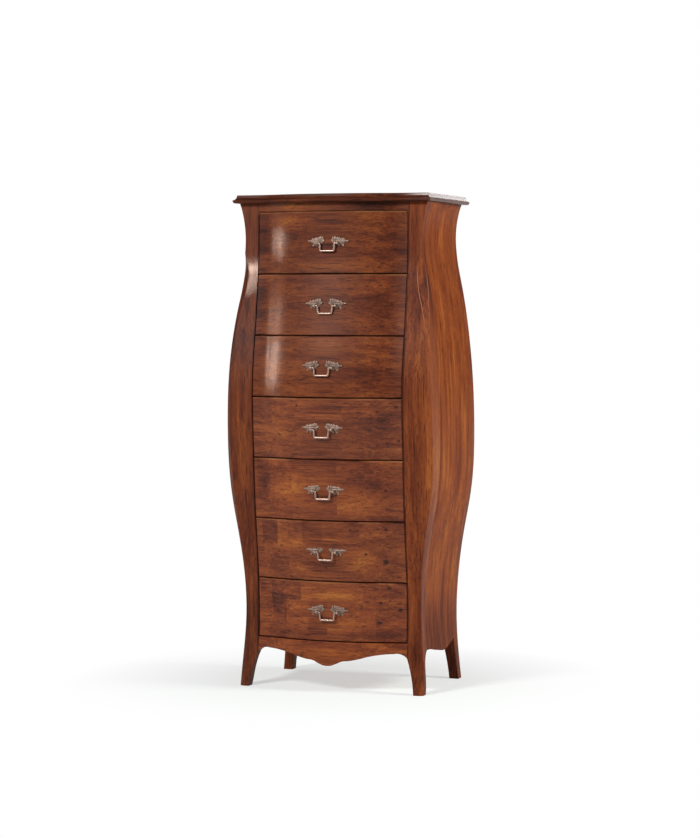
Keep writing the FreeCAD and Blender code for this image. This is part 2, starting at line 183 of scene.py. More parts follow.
def marked(material, total, where, mark, fade, fray=(), square=False):
    """Adds a mark on the front to a value: its place and half sizes in millimetres, and its weight.

    The mark fades between two shares of its half sizes, and noise frays its edge."""
    x, z, across, high, weight = mark
    place = (x * MM, 0, z * MM)
    local = add(material, "ShaderNodeVectorMath", {0: where, 1: place}, operation="SUBTRACT").outputs[0]
    shape = (1 / (across * MM), 0.0, 1 / (high * MM))
    local = add(material, "ShaderNodeVectorMath", {0: local, 1: shape}, operation="MULTIPLY").outputs[0]
    if square:
        local = add(material, "ShaderNodeVectorMath", {0: local}, operation="ABSOLUTE").outputs[0]
        axes = add(material, "ShaderNodeSeparateXYZ", {0: local}).outputs
        away = add(material, "ShaderNodeMath", {0: axes["X"], 1: axes["Z"]}, operation="MAXIMUM").outputs[0]
    else:
        away = add(material, "ShaderNodeVectorMath", {0: local}, operation="LENGTH").outputs["Value"]
    for noise, share in fray:
        away = add(
            material, "ShaderNodeMath", {0: noise, 1: share, 2: away}, operation="MULTIPLY_ADD"
        ).outputs[0]
    inside = add(
        material, "ShaderNodeMapRange", {0: away, 1: fade[0], 2: fade[1], 3: weight, 4: 0.0}
    ).outputs[0]
    return add(material, "ShaderNodeMath", {0: total, 1: inside}, operation="ADD").outputs[0]


def walnut(
    name, upright, seed, depth, warmth, staves=(0.0, "Z"), figure=0.75, gleam=0.14, wax=0.2, sheen=0.2,
    patches=(), blocks=(), knots=(), waxed=(), highlight_marks=(), rim=None, highlight_above=None,
):
    """Stained walnut under wax: streaky red-brown wood with a soft sheen that picks up strips of light.

    The grain runs upright or along X, from a place in the log that the seed picks. Depth scales the
    stain; where it is set to even out how the lamps fall on a piece, it is partly painted light and
    shade. Warmth moves the stain from dark to golden, staves are their contrast and the axis across
    them, figure is the contrast of the bands, gleam the specular level, and wax and sheen are the
    weight and roughness of the coat. The rest are marks, among them painted shade round a front's
    edge and painted highlights on its upper arris and in given places."""
    look = bpy.context.scene.chest_finish
    material = new_material(name)
    where = add(material, "ShaderNodeTexCoord").outputs["Object"]
    turn = (0, math.pi / 2, 0) if upright else (0, 0, 0)
    board = add(
        material, "ShaderNodeMapping",
        {"Vector": where, "Location": (seed * 1.7, seed * 0.9, seed * 2.3), "Rotation": turn},
    ).outputs[0]
    # Staves glued side by side, 56 mm wide and 210 mm long, each from another place in the log
    contrast, row = staves
    axes = add(material, "ShaderNodeSeparateXYZ", {0: board}).outputs
    flat = add(material, "ShaderNodeCombineXYZ", {0: axes["X"], 1: axes[row]}).outputs[0]
    stave = add(
        material, "ShaderNodeTexBrick",
        {
            "Vector": flat, "Color1": (0, 0, 0, 1), "Color2": (1, 1, 1, 1), "Scale": 1.0,
            "Mortar Size": 0.0, "Brick Width": 0.21, "Row Height": 0.056,
        },
        offset=0.37,
    ).outputs["Color"]
    moved = add(
        material, "ShaderNodeVectorMath", {0: stave, 3: 5.0 * contrast}, operation="SCALE"
    ).outputs[0]
    board = add(material, "ShaderNodeVectorMath", {0: board, 1: moved}, operation="ADD").outputs[0]
    # Fine streaks about 5 mm apart and 300 mm long, bands about 22 mm wide and 450 mm long, and
    # stains about 60 mm wide and 200 mm long
    streaks = stretched(material, board, (3.3, 190, 190), 4.0, 0.6, 0.4)
    bands = stretched(material, board, (2.2, 45, 45), 3.0, 0.55, 0.5)
    stains = stretched(material, board, (5, 16, 16), 2.0)
    # Open pores as short dark dashes, drawn 1.5 mm wide and 25 mm long so that they show
    pores = stretched(material, board, (40, 650, 650), 2.0)
    # Sparse dark checks about 5 mm wide and 125 mm long
    checks = stretched(material, board, (8, 200, 200), 1.0)
    layers = ((streaks, 0.6), (bands, figure), (stains, 0.45), (stave, contrast))
    tone = warmth - 0.5 * sum(share for layer, share in layers)
    for layer, share in layers:
        tone = add(
            material, "ShaderNodeMath", {0: layer, 1: share, 2: tone}, operation="MULTIPLY_ADD"
        ).outputs[0]
    fray = ((bands, 0.9), (streaks, 0.5))
    for patch in patches:
        tone = marked(material, tone, where, patch, FRAYED, fray)
    for block in blocks:
        tone = marked(material, tone, where, block, CRISP, square=True)
    colour = add(
        material, "ShaderNodeValToRGB", {0: tone},
        stops=[
            (0.12, linear(look.dark)),
            (0.9, linear(look.gold)),
            (0.42, linear(look.body)),
            (0.66, linear(look.light)),
        ],
    ).outputs[0]
    # Pores, checks and knots hold dark stain
    dark = add(material, "ShaderNodeMapRange", {0: pores, 1: 0.34, 2: 0.5, 3: 0.5, 4: 0.0}).outputs[0]
    split = add(material, "ShaderNodeMapRange", {0: checks, 1: 0.31, 2: 0.4, 3: 0.6, 4: 0.0}).outputs[0]
    dark = add(material, "ShaderNodeMath", {0: dark, 1: split}, operation="MAXIMUM").outputs[0]
    for x, z, size in knots:
        knot = (x, z, 1.3 * size, size, 0.85)
        dark = marked(material, dark, where, knot, KNOTTED, ((streaks, 0.9),))
    if rim:
        # Painted shade round the edge of a front, standing for the shade in the gaps: all over, and then
        # taken off its field
        field = rim[:4] + (-rim[4],)
        dark = add(material, "ShaderNodeMath", {0: dark, 1: rim[4]}, operation="ADD").outputs[0]
        dark = marked(material, dark, where, field, AT_RIM, square=True)
    colour = add(
        material, "ShaderNodeMix", {0: dark, 6: colour, 7: linear(look.pores)},
        data_type="RGBA", clamp_factor=True,
    ).outputs[2]
    height = add(material, "ShaderNodeSeparateXYZ", {0: where}).outputs["Z"]
    # Painted highlights, as pale wood: in some places, and along the upper arris of a front in a strip
    # about 4 mm wide
    painted_highlight = 0.0
    if highlight_above:
        strip = add(
            material, "ShaderNodeMapRange", {0: height, 1: highlight_above - 5 * MM, 2: highlight_above - 2 * MM}
        ).outputs[0]
        highlight_breakup = add(material, "ShaderNodeMapRange", {0: bands, 1: 0.4, 2: 0.64, 3: 0.0, 4: 0.5}).outputs[0]
        painted_highlight = add(material, "ShaderNodeMath", {0: strip, 1: highlight_breakup}, operation="MULTIPLY").outputs[0]
    for mark in highlight_marks:
        painted_highlight = marked(material, painted_highlight, where, mark, FRAYED, fray)
    if painted_highlight:
        colour = add(
            material, "ShaderNodeMix", {0: painted_highlight, 6: colour, 7: linear(look.edge_highlight)},
            data_type="RGBA", clamp_factor=True,
        ).outputs[2]
    # Colour is darker over the lowest 200 mm
    low = add(
        material, "ShaderNodeMapRange", {0: height, 1: 0.0, 2: 0.2, 3: 0.8 * depth, 4: depth}
    ).outputs[0]
    colour = add(material, "ShaderNodeVectorMath", {0: colour, 3: low}, operation="SCALE").outputs[0]
    # A slight relief, 0.3 mm at most, with sunken pores
    relief = add(
        material, "ShaderNodeMath", {0: dark, 1: -0.6, 2: streaks}, operation="MULTIPLY_ADD"
    ).outputs[0]
    bump = add(
        material, "ShaderNodeBump", {"Strength": 0.2, "Distance": 0.3 * MM, "Height": relief}
    ).outputs[0]
    # Wax is rubbed along the grain, and thicker in some places
    coat = wax
    for mark in waxed:
        coat = marked(material, coat, where, mark, FRAYED, fray)
    if coat:
        thin = add(
            material, "ShaderNodeMapRange", {0: streaks, 1: 0.35, 2: 0.65, 3: 0.6, 4: 1.2}
        ).outputs[0]
        coat = add(material, "ShaderNodeMath", {0: coat, 1: thin}, operation="MULTIPLY").outputs[0]
    gloss = add(material, "ShaderNodeMapRange", {0: streaks, 1: 0.2, 2: 0.8, 3: 0.42, 4: 0.54}).outputs[0]
    shader = add(
        material, "ShaderNodeBsdfPrincipled",
        {
            "Base Color": colour, "Roughness": gloss, "IOR": 1.45, "Specular IOR Level": gleam,
            "Normal": bump, "Coat Weight": coat, "Coat Roughness": sheen,
        },
    )
    add(material, "ShaderNodeOutputMaterial", {"Surface": shader.outputs[0]})
    return material


def plain_wood(name, turn, seed):
    """Sanded beech inside the case: pale, dry and nearly matt."""
    look = bpy.context.scene.chest_finish
    material = new_material(name)
    where = add(material, "ShaderNodeTexCoord").outputs["Object"]
    board = add(
        material, "ShaderNodeMapping",
        {"Vector": where, "Location": (seed, seed * 0.7, seed * 1.3), "Rotation": turn},
    ).outputs[0]
    # Growth lines about 10 mm apart and 400 mm long
    lines = stretched(material, board, (2.5, 95, 95), 4.0, 0.55, 0.5)
    # Short medullary flecks, drawn 1.5 mm wide and 12 mm long so that they show
    flecks = stretched(material, board, (80, 640, 640), 1.0, 0.5)
    colour = add(
        material, "ShaderNodeValToRGB", {0: lines},
        stops=[(0.25, linear(look.inside_dark)), (0.75, linear(look.inside))],
    ).outputs[0]
    amount = add(material, "ShaderNodeMapRange", {0: flecks, 1: 0.3, 2: 0.45, 3: 0.35, 4: 0.0}).outputs[0]
    colour = add(
        material, "ShaderNodeMix", {0: amount, 6: colour, 7: linear(look.inside_dark)}, data_type="RGBA",
    ).outputs[2]
    gloss = add(material, "ShaderNodeMapRange", {0: lines, 1: 0.2, 2: 0.8, 3: 0.55, 4: 0.7}).outputs[0]
    bump = add(
        material, "ShaderNodeBump", {"Strength": 0.2, "Distance": 0.3 * MM, "Height": lines}
    ).outputs[0]
    shader = add(
        material, "ShaderNodeBsdfPrincipled",
        {"Base Color": colour, "Roughness": gloss, "IOR": 1.5, "Normal": bump},
    )
    add(material, "ShaderNodeOutputMaterial", {"Surface": shader.outputs[0]})
    return material


def antiqued_metal(name, bright, grip=None):
    """Cast white metal with a dark patina in its hollows, rubbed bright where fingers touch it.

    Where half the width of a grip is given, the patina stays beyond it."""
    look = bpy.context.scene.chest_finish
    material = new_material(name)
    where = add(material, "ShaderNodeTexCoord").outputs["Object"]
    # Patina in patches of about 5 mm
    patina = add(
        material, "ShaderNodeTexNoise",
        {"Vector": where, "Scale": 200.0, "Detail": 4.0, "Roughness": 0.6},
    ).outputs["Fac"]
    # Grain of the casting, drawn at about 1 mm so that it shows
    grit = add(
        material, "ShaderNodeTexNoise", {"Vector": where, "Scale": 1000.0, "Detail": 2.0},
    ).outputs["Fac"]
    edge = add(material, "ShaderNodeNewGeometry").outputs["Pointiness"]
    rubbed = add(material, "ShaderNodeMapRange", {0: edge, 1: 0.46, 2: 0.56, 3: 0.0, 4: 0.8}).outputs[0]
    rubbed = add(
        material, "ShaderNodeMath", {0: patina, 1: 0.5, 2: rubbed}, operation="MULTIPLY_ADD"
    ).outputs[0]
    if grip:
        across = add(material, "ShaderNodeSeparateXYZ", {0: where}).outputs["X"]
        across = add(material, "ShaderNodeMath", {0: across}, operation="ABSOLUTE").outputs[0]
        dulled = add(
            material, "ShaderNodeMapRange", {0: across, 1: grip, 2: grip + 3 * MM, 3: 0.0, 4: 0.7}
        ).outputs[0]
        rubbed = add(material, "ShaderNodeMath", {0: rubbed, 1: dulled}, operation="SUBTRACT").outputs[0]
    rubbed = add(
        material, "ShaderNodeMath", {0: rubbed, 1: bright - 0.5}, operation="ADD", use_clamp=True
    ).outputs[0]
    colour = add(
        material, "ShaderNodeMix", {0: rubbed, 6: linear(look.patina), 7: linear(look.metal)},
        data_type="RGBA",
    ).outputs[2]
    gloss = add(material, "ShaderNodeMapRange", {0: rubbed, 1: 0.0, 2: 1.0, 3: 0.62, 4: 0.36}).outputs[0]
    bump = add(
        material, "ShaderNodeBump", {"Strength": 0.2, "Distance": 0.2 * MM, "Height": grit}
    ).outputs[0]
    shader = add(
        material, "ShaderNodeBsdfPrincipled",
        {"Base Color": colour, "Metallic": 0.9, "Roughness": gloss, "Normal": bump},
    )
    add(material, "ShaderNodeOutputMaterial", {"Surface": shader.outputs[0]})
    return material


# Wooden shells

# Distance at which points are merged
MERGED = 0.02 * MM


def shell(node, ease, *finishes):
    """A copy of a curved CAD piece, merged, shaded smooth and eased by so many millimetres.

    The eased faces take the piece's last finish."""
    obj = painted(bpy.data.objects.new(node, NODES[node].data.copy()), *finishes)
    bpy.context.scene.collection.objects.link(obj)
    edit(obj)
    bpy.ops.mesh.select_all(action="SELECT")
    bpy.ops.mesh.customdata_custom_splitnormals_clear()
    bpy.ops.mesh.remove_doubles(threshold=MERGED)
    close()
    if ease:
        modify(
            obj, "arris", "BEVEL", width=ease * MM, segments=2, limit_method="ANGLE",
            angle_limit=math.radians(28), material=len(finishes) - 1,
        )
    pick(obj)
    bpy.ops.object.shade_smooth_by_angle(angle=math.radians(24))
    if ease:
        modify(obj, "level", "WEIGHTED_NORMAL", keep_sharp=True)
    return obj


# Each drawer front's walnut. Patches, blocks, waxed places and places painted pale as highlights are a
# place, half width and half height in millimetres and a weight, and knots are a place and half height.
# Depth is partly painted light and shade over the wood's own change of tone: the upper fronts, tilted up
# towards the key light, are made darker and the lower fronts lighter
FRONTS = {
    1: {
        "depth": 0.72, "wax": 0.04,
        "patches": [
            (0, 1157, 120, 16, 0.3), (-125, 1280, 70, 14, 0.2), (60, 1230, 150, 30, -0.1),
            (170, 1220, 60, 80, -0.14), (-206, 1210, 34, 90, -0.2),
        ],
        "knots": [(-65, 1258, 2.5)],
        "waxed": [(-146, 1220, 36, 52, 0.72)],
    },
    2: {
        "depth": 0.78, "wax": 0.06, "sheen": 0.22,
        "patches": [
            (10, 1020, 120, 30, 0.16), (60, 1105, 110, 12, 0.16), (140, 1050, 60, 50, -0.1),
            (-208, 1040, 34, 80, -0.24),
        ],
        "waxed": [(-152, 1000, 44, 105, 0.45)],
    },
    3: {
        "depth": 0.8, "wax": 0.08,
        "patches": [(-60, 880, 60, 30, 0.16), (0, 945, 120, 10, 0.14), (150, 900, 60, 60, -0.08)],
        "waxed": [(-147, 896, 46, 130, 0.8)],
    },
    4: {
        "depth": 0.9, "staves": (0.02, "Z"), "wax": 0.3, "sheen": 0.22,
        "patches": [(-110, 706, 70, 26, 0.14), (-60, 780, 60, 12, 0.1), (150, 720, 70, 60, -0.14)],
        "knots": [(-74, 779, 4), (200, 778, 6), (206, 687, 5)],
    },
    5: {
        "depth": 1.02, "staves": (0.06, "Z"), "sheen": 0.22,
        "patches": [
            (-110, 555, 70, 45, 0.28), (105, 520, 80, 40, 0.2), (0, 500, 60, 20, 0.12),
            (20, 565, 70, 40, 0.12), (-185, 560, 22, 50, -0.2),
        ],
        "blocks": [(-160, 600, 45, 40, -0.06), (85, 585, 70, 40, -0.05)],
        "knots": [(-181, 556, 5), (169, 552, 5)],
    },
    6: {
        "depth": 0.97, "staves": (0.04, "Z"), "sheen": 0.22,
        "patches": [
            (100, 360, 60, 36, 0.2), (-150, 355, 40, 22, -0.16), (165, 350, 40, 40, -0.12),
            (-10, 340, 70, 26, -0.1),
        ],
        "blocks": [
            (-172, 440, 24, 40, -0.18), (-107, 432, 38, 36, 0.1), (30, 438, 38, 32, 0.07),
            (-138, 372, 55, 36, 0.05),
        ],
        "knots": [(111, 379, 5), (162, 358, 9), (166, 447, 5), (-2, 339, 4), (71, 445, 4)],
    },
    7: {
        "depth": 1.06, "staves": (0.04, "Z"), "sheen": 0.22,
        "patches": [
            (20, 262, 80, 16, 0.3), (80, 200, 80, 22, 0.12), (10, 178, 150, 22, 0.14),
            (-150, 240, 50, 30, -0.16),
        ],
        "blocks": [
            (-128, 272, 46, 24, -0.14), (10, 266, 86, 20, 0.12), (-150, 218, 22, 30, -0.14),
            (-92, 200, 34, 40, 0.08), (-30, 172, 28, 20, -0.05), (172, 190, 38, 40, -0.06),
        ],
        "knots": [(146, 246, 7), (169, 286, 6), (142, 192, 8), (198, 228, 7)],
    },
}
# Weight of the painted shade in the gaps round each front
GAP_SHADE = 0.25

# The walnut of each curved piece of the case, with marks as on the fronts
CASE = {
    "top_board": {
        "upright": False, "seed": 11.3, "depth": 0.5, "warmth": 0.42, "staves": (0.06, "Y"), "wax": 0.0,
        "waxed": [(300, 1340, 90, 100, 0.4)],
    },
    "top_rail": {
        "upright": False, "seed": 12.1, "depth": 0.7, "warmth": 0.46, "wax": 0.04,
        "patches": [(120, 1318, 140, 40, -0.34), (-100, 1318, 90, 30, 0.16)],
    },
    "front_apron": {"upright": False, "seed": 13.7, "depth": 1.15, "warmth": 0.56},
    "front_post_left": {
        "upright": True, "seed": 14.2, "depth": 0.8, "warmth": 0.46, "wax": 0.0, "sheen": 0.14,
        # This 4 mm strip along the inner arris is painted shade in the gap beside the drawers
        "patches": [(-217, 690, 4, 5000, -0.25)],
        "waxed": [(-240, 1134, 120, 54, 1.0)],
    },
    "front_post_right": {
        "upright": True, "seed": 15.9, "depth": 0.95, "warmth": 0.5, "gleam": 0.08, "wax": 0.03,
        # The first patch, a 4 mm strip along the inner arris, is painted shade in the gap beside the
        # drawers
        "patches": [(217, 690, 4, 5000, -0.4), (302, 760, 36, 360, 0.2), (268, 1085, 36, 90, -0.14)],
    },
    "rear_post_left": {
        "upright": True, "seed": 16.4, "depth": 0.95, "warmth": 0.5, "gleam": 0.06, "wax": 0.03,
    },
    "rear_post_right": {
        "upright": True, "seed": 17.8, "depth": 0.95, "warmth": 0.52, "gleam": 0.06, "wax": 0.03,
    },
    "side_panel_left": {
        "upright": True, "seed": 18.6, "depth": 1.0, "warmth": 0.55, "figure": 0.66, "gleam": 0.015,
        "wax": 0.04,
    },
    "side_panel_right": {
        "upright": True, "seed": 19.5, "depth": 0.96, "warmth": 0.61, "figure": 0.66, "gleam": 0.015,
        "wax": 0.04,
        "patches": [(270, 150, 140, 110, -0.17)],
    },
}
# The eased arris of the right front post, with a highlight painted as pale wood where its chamfer starts
ARRIS_HIGHLIGHT = {
    "upright": True, "seed": 3.1, "depth": 1.7, "warmth": 0.3, "gleam": 0.08, "wax": 0.03,
    "highlight_marks": [(252, 1076, 70, 105, 1.0)],
}
# Width of the eased arrises, in millimetres
EASED = {
    "top_board": 0.6, "top_rail": 0.4, "front_apron": 0.8, "front_post_left": 1.2, "front_post_right": 1.8,
    "rear_post_left": 0.8, "rear_post_right": 0.8,
}


class CHEST_PG_finish(bpy.types.PropertyGroup):
    """Colours of the wood and the metal."""
    dark: StringProperty(
        name="Dark walnut", description="Late wood and sunken stain", default="#38170D",
    )
    body: StringProperty(name="Walnut", description="Body of the stained wood", default="#69301A")
    light: StringProperty(name="Light walnut", description="Early wood", default="#884521")
    gold: StringProperty(
        name="Golden walnut", description="Patches where the stain is thin", default="#A66128",
    )
    # Also the colour of the painted shade in the gaps round the fronts
    pores: StringProperty(name="Pores", description="Stain in pores and knots", default="#26100B")
    # Painted highlight, as pale wood, on the upper arris of each front and on the right front post's arris
    edge_highlight: StringProperty(
        name="Worn arris", description="Wood where the stain is rubbed off", default="#A8704C",
    )
    inside: StringProperty(
        name="Inside wood", description="Sanded wood of the drawer boxes", default="#C39A6B",
    )
    inside_dark: StringProperty(
        name="Inside grain", description="Growth lines of the inside wood", default="#A0754A",
    )
    metal: StringProperty(
        name="Rubbed metal", description="Metal where it is bright", default="#AD9486",
    )
    patina: StringProperty(name="Patina", description="Metal where it is dull", default="#564439")


class CHEST_PG_stage(bpy.types.PropertyGroup):
    """Floor and light."""
    floor: StringProperty(name="Floor", description="Colour of the floor", default="#EEF5F1")
    key: FloatProperty(
        name="Key light", description="Power of the light on the front", default=162.0, unit="POWER",
    )
    side: FloatProperty(
        name="Side light", description="Power of the light on the side", default=145.0, unit="POWER",
    )
    strip: FloatProperty(
        name="Strip light", description="Power of the upright strip", default=14.0, unit="POWER",
    )
    card: FloatProperty(
        name="Card", description="Power of the small card by the post", default=3.4, unit="POWER",
    )
    rim: FloatProperty(
        name="Rim light", description="Power of the light behind the top", default=14.0, unit="POWER",
    )
    glint: StringProperty(
        name="Glints", description="Colour of the lights seen in the wax", default="#FFDCC8",
    )
    fill: FloatProperty(name="Fill", description="Strength of light from all round", default=0.12)


class CHEST_OT_fronts(bpy.types.Operator):
    """Dresses the seven serpentine drawer fronts"""
    bl_idname = "chest.fronts"
    bl_label = "Drawer Fronts"

    def execute(self, context):
        for n in DRAWERS:
            node = "drawer_%d_front" % n
            low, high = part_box(node)
            # Painted shade in the gaps round the front's edge
            rim = (0, (low.z + high.z) / 2 / MM, high.x / MM, (high.z - low.z) / 2 / MM, GAP_SHADE)
            # The front's upper arris takes a painted highlight
            finish = walnut(
                "walnut_front_%d" % n, upright=False, seed=n * 1.37, warmth=0.5,
                rim=rim, highlight_above=high.z, **FRONTS[n],
            )
            finish_piece(shell(node, 0, finish), "front_%d" % n, "drawer_%d" % n, "stained_wood", node)
        return {"FINISHED"}


class CHEST_OT_case(bpy.types.Operator):
    """Dresses the curved pieces of the case"""
    bl_idname = "chest.case"
    bl_label = "Case"

    def execute(self, context):
        # The right front post's eased arris takes this finish, with its painted highlight
        edge_highlight = walnut("walnut_arris_highlight", **ARRIS_HIGHLIGHT)
        for node, look in CASE.items():
            finishes = [walnut("walnut_" + node, **look)]
            if node == "front_post_right":
                finishes.append(edge_highlight)
            dressed = shell(node, EASED.get(node, 0), *finishes)
            finish_piece(dressed, "dressed_" + node, "carcass", "stained_wood", node)
        return {"FINISHED"}


class CHEST_OT_inside(bpy.types.Operator):
    """Gives the plain wood inside the case its finish"""
    bl_idname = "chest.inside"
    bl_label = "Inside Wood"

    def execute(self, context):
        along = plain_wood("beech_across", (0, 0, 0), 2.0)
        deep = plain_wood("beech_front_to_back", (0, 0, math.pi / 2), 5.0)
        tall = plain_wood("beech_upright", (0, math.pi / 2, 0), 8.0)
        finishes = {
            "back_panel": tall, "bottom_board": along, "drawer_rails": along, "rear_rails": along,
            "runners_left": deep, "runners_right": deep, "glue_blocks": along,
        }
        for n in DRAWERS:
            finishes["drawer_%d_sides" % n] = deep
            finishes["drawer_%d_back" % n] = along
            finishes["drawer_%d_bottom" % n] = along
        for node, finish in finishes.items():
            painted(NODES[node], finish)
        return {"FINISHED"}


# Pulls

# Lobes of a leaf: where each springs from the midrib and where it ends, its width and its height
# over the plate, in millimetres outwards and up from the eye
LOBES = (
    ((-14, 7), (17, 7.5), 11.0, 3.0),
    ((8, 7), (27.5, 5.8), 6.0, 2.7),
    ((-10, 2), (-13, 20), 12.0, 3.2),
    ((-6, 3), (-3.5, 18.5), 10.0, 3.0),
    ((0, 5), (6.5, 16), 9.0, 2.8),
    ((8, 7), (16.5, 13.5), 7.0, 2.5),
    ((-8, 6), (-21.5, 8), 8.5, 3.0),
    ((-9, 6), (-16, -1), 7.0, 2.8),
    ((7, 7), (17.5, 0.5), 6.0, 2.5),
    ((4, 7), (13.5, -7), 6.0, 2.6),
    ((0, 5), (3, -8.5), 7.0, 2.8),
)
# Beads at the ends of lobes: place and radius in millimetres
BEADS = ((25.6, 5.9, 2.7), (13, -6.8, 2.2), (-19.5, 8, 2.7))
# Half sizes in millimetres of the boss that the eye stands on
BOSS = (5.5, 3.4, 5.5)
# Half width of each of a lobe's two ridges and its distance from the lobe's middle, as shares of
# the lobe's width
RIDGE_HALF = 0.3
RIDGE_OFF = 0.22
# How far a leaf's flat back lies under the skin of the front, and the grain of the casting
LEAF_SUNK = 0.6 * MM
CASTING = 0.6 * MM
# Eye posts: the eye's radius and its share of that from front to back, the neck and the hole
EYE_RADIUS = 4.7 * MM
EYE_FLAT = 0.84
NECK_RADIUS = 3.4 * MM
HOLE_RADIUS = 2.8 * MM
# Bails: the wire, the end and length of a pin, the two bends, a leg's run inwards and down, and
# the steps of half the grip with their swelling
WIRE_RADIUS = 2.4 * MM
PIN_END = 30 * MM
PIN_LENGTH = 5.7 * MM
UPPER_BEND = 3 * MM
LEG_IN, LEG_DOWN = 1.8 * MM, 14.5 * MM
LOWER_BEND = 3.5 * MM
GRIP_STEPS = ((4.5 * MM, 1.06), (6 * MM, 1.05), (5.5 * MM, 1.02))
# Half the width that fingers rub bright
GRIP_HALF = 22.5 * MM
# Nut, washer and stud behind a front: sides, radius, height, and its middle's height over the wood
NUT = (6, 4.8 * MM, 3.5 * MM, 2.3 * MM)
WASHER = (24, 6.2 * MM, 0.8 * MM, 0.3 * MM)
STUD = (20, 2 * MM, 5 * MM, 2.8 * MM)


class CHEST_OT_pulls(bpy.types.Operator):
    """Models the leaves, eyes, studs and bails of the pulls"""
    bl_idname = "chest.pulls"
    bl_label = "Pulls"

    def execute(self, context):
        leaf_finish = antiqued_metal("antiqued_white_metal", 0.27)
        bail_finish = antiqued_metal("rubbed_white_metal", 0.62, GRIP_HALF)
        leaf = self.leaf()
        bail = self.bail()
        stud = self.stud()
        joints = {joint["name"]: joint for joint in frame["joints"]}
        for n in DRAWERS:
            name = "drawer_%d_" % n
            pivot = Vector(joints[name + "bail_swing"]["pos_m"])
            eye_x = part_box(name + "bail")[1].x
            front = bpy.data.objects["front_%d" % n]
            # The place and slant of the front behind the right eye, seen from before the chest
            start = Vector((eye_x, CAD_LOW.y - 0.1, pivot.z))
            hit, place, normal, face = front.ray_cast(start, Vector((0, 1, 0)))
            if not hit:
                raise RuntimeError("no drawer front behind the eye of pull %d" % n)
            lean = Matrix.Rotation(math.asin(normal.z), 4, "X")
            turn = Matrix.Rotation(math.atan2(normal.x, -normal.y), 4, "Z")
            right = copied(leaf)
            right.data.transform(Matrix.Translation(place) @ turn @ lean)
            left = copied(right)
            left.data.transform(Matrix.Scale(-1, 4, (1, 0, 0)))
            edit(left)
            bpy.ops.mesh.select_all(action="SELECT")
            bpy.ops.mesh.flip_normals()
            close()
            pick(right)
            left.select_set(True)
            bpy.ops.object.join()
            self.eyes(right, pivot, eye_x, place.y)
            painted(right, leaf_finish)
            finish_piece(right, "leaves_%d" % n, "drawer_%d" % n, "antique_metal", name + "pull_leaves")
            hung = copied(bail)
            hung.data.transform(Matrix.Translation(pivot))
            painted(hung, bail_finish)
            finish_piece(hung, "bail_%d" % n, name + "bail", "antique_metal", name + "bail")
            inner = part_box(name + "front")[1].y
            for side, label in ((-1, "left"), (1, "right")):
                nut = copied(stud)
                nut.data.transform(Matrix.Translation((side * eye_x, inner, pivot.z)))
                painted(nut, bail_finish)
                finish_piece(nut, "stud_nut_%d_%s" % (n, label), "drawer_%d" % n, "antique_metal")
        for pattern in (leaf, bail, stud):
            bpy.data.objects.remove(pattern)
        return {"FINISHED"}

    def leaf(self):
        """One leaf, flat in the upright plane, with its eye at the origin."""
        bpy.ops.object.select_all(action="DESELECT")
        bpy.ops.mesh.primitive_uv_sphere_add(segments=16, ring_count=10, radius=MM, location=(0, 0, 0))
        leaf = bpy.context.object
        edit(leaf)
        bpy.ops.mesh.select_all(action="SELECT")
        bpy.ops.transform.resize(value=BOSS)
        for (x0, z0), (x1, z1), width, height in LOBES:
            span = Vector((x1 - x0, 0, z1 - z0))
            middle = Vector(((x0 + x1) / 2, 0, (z0 + z1) / 2))
            angle = math.atan2(span.z, span.x)
            for side in (-1, 1):
                bpy.ops.mesh.select_all(action="DESELECT")
                bpy.ops.mesh.primitive_uv_sphere_add(
                    segments=16, ring_count=10, radius=MM, location=(0, 0, 0)
                )
                bpy.ops.transform.resize(value=(span.length / 2, height, width * RIDGE_HALF))
                bpy.ops.transform.translate(value=(0, 0, side * width * RIDGE_OFF * MM))
                bpy.ops.transform.rotate(value=angle, orient_axis="Y", center_override=(0, 0, 0))
                bpy.ops.transform.translate(value=middle * MM)
        for x, z, radius in BEADS:
            bpy.ops.mesh.select_all(action="DESELECT")
            bpy.ops.mesh.primitive_uv_sphere_add(
                segments=16, ring_count=10, radius=radius * MM, location=(x * MM, 0, z * MM)
            )
        close()
        modify(leaf, "cast", "REMESH", mode="VOXEL", voxel_size=CASTING)
        modify(leaf, "soften", "SMOOTH", factor=0.5, iterations=2)
        edit(leaf)
        bpy.ops.mesh.select_all(action="SELECT")
        bpy.ops.mesh.bisect(
            plane_co=(0, LEAF_SUNK, 0), plane_no=(0, 1, 0), use_fill=True, clear_outer=True
        )
        close()
        pick(leaf)
        bpy.ops.object.shade_smooth()
        return leaf

    def eyes(self, leaves, pivot, eye_x, skin):
        """Turns an eye post on each leaf, with a hole for the bail's pin."""
        for side in (-1, 1):
            bpy.ops.object.select_all(action="DESELECT")
            bpy.ops.mesh.primitive_uv_sphere_add(
                segments=20, ring_count=14, radius=EYE_RADIUS, location=(side * eye_x, pivot.y, pivot.z),
                scale=(1, EYE_FLAT, 1),
            )
            ball = bpy.context.object
            bpy.ops.mesh.primitive_cylinder_add(
                vertices=20, radius=NECK_RADIUS, depth=abs(skin - pivot.y),
                location=(side * eye_x, (skin + pivot.y) / 2, pivot.z), rotation=(math.pi / 2, 0, 0),
            )
            neck = bpy.context.object
            bpy.ops.mesh.primitive_cylinder_add(
                vertices=24, radius=HOLE_RADIUS, depth=20 * MM,
                location=(side * eye_x, pivot.y, pivot.z), rotation=(0, math.pi / 2, 0),
            )
            drill = bpy.context.object
            for obj in (ball, neck, drill):
                pick(obj)
                bpy.ops.object.transform_apply(location=True, rotation=True, scale=True)
            modify(ball, "post", "BOOLEAN", operation="UNION", object=neck, solver="EXACT")
            modify(ball, "hole", "BOOLEAN", operation="DIFFERENCE", object=drill, solver="EXACT")
            bpy.data.objects.remove(neck)
            bpy.data.objects.remove(drill)
            pick(ball)
            bpy.ops.object.shade_smooth_by_angle(angle=math.radians(35))
            pick(leaves)
            ball.select_set(True)
            bpy.ops.object.join()

